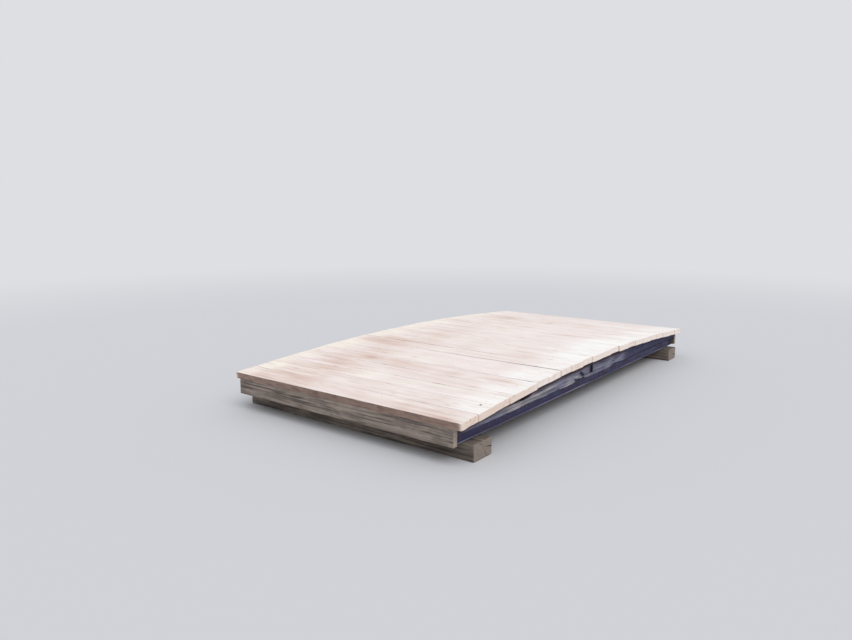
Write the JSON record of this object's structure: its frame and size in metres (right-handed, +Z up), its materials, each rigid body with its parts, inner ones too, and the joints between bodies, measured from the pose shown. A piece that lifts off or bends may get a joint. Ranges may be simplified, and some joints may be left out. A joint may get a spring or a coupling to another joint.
{
  "type": "arched timber footbridge",
  "caption": "Low arched footbridge: cross-laid deck boards on cambered timber bearers and slender steel joists, standing on sleeper sills.",
  "frame": {"origin": "centre of the plan at the underside of the two sills", "axes": "+X along the span from the near end to the far end, +Y to the left across the deck, +Z up"},
  "size_m": [4.9892, 2.618, 0.454],
  "materials": {
    "deck_timber": "sawn boards, sun-bleached and dusty",
    "bearer_timber": "old weathered timber, grey with green algae",
    "joist_steel": "rolled steel with a dull weathered skin and rust",
    "sill_timber": "dark old sleeper timber"
  },
  "bodies": {
    "root": {"deck_board_01": "deck_timber", "deck_board_02": "deck_timber", "deck_board_03": "deck_timber", "deck_board_04": "deck_timber", "deck_board_05": "deck_timber", "deck_board_06": "deck_timber", "deck_board_07": "deck_timber", "deck_board_08": "deck_timber", "deck_board_09": "deck_timber", "deck_board_10": "deck_timber", "deck_board_11": "deck_timber", "deck_board_12": "deck_timber", "deck_board_13": "deck_timber", "deck_board_14": "deck_timber", "deck_board_15": "deck_timber", "deck_board_16": "deck_timber", "deck_board_17": "deck_timber", "deck_board_18": "deck_timber", "deck_board_19": "deck_timber", "deck_board_20": "deck_timber", "deck_board_21": "deck_timber", "deck_board_22": "deck_timber", "bearer_right": "bearer_timber", "bearer_centre_right": "bearer_timber", "bearer_centre_left": "bearer_timber", "bearer_left": "bearer_timber", "joist_right": "joist_steel", "joist_centre_right": "joist_steel", "joist_centre_left": "joist_steel", "joist_left": "joist_steel", "midspan_tie": "bearer_timber", "end_board_near": "bearer_timber", "end_board_far": "bearer_timber", "sill_near": "sill_timber", "sill_far": "sill_timber"}
  },
  "joints": []
}
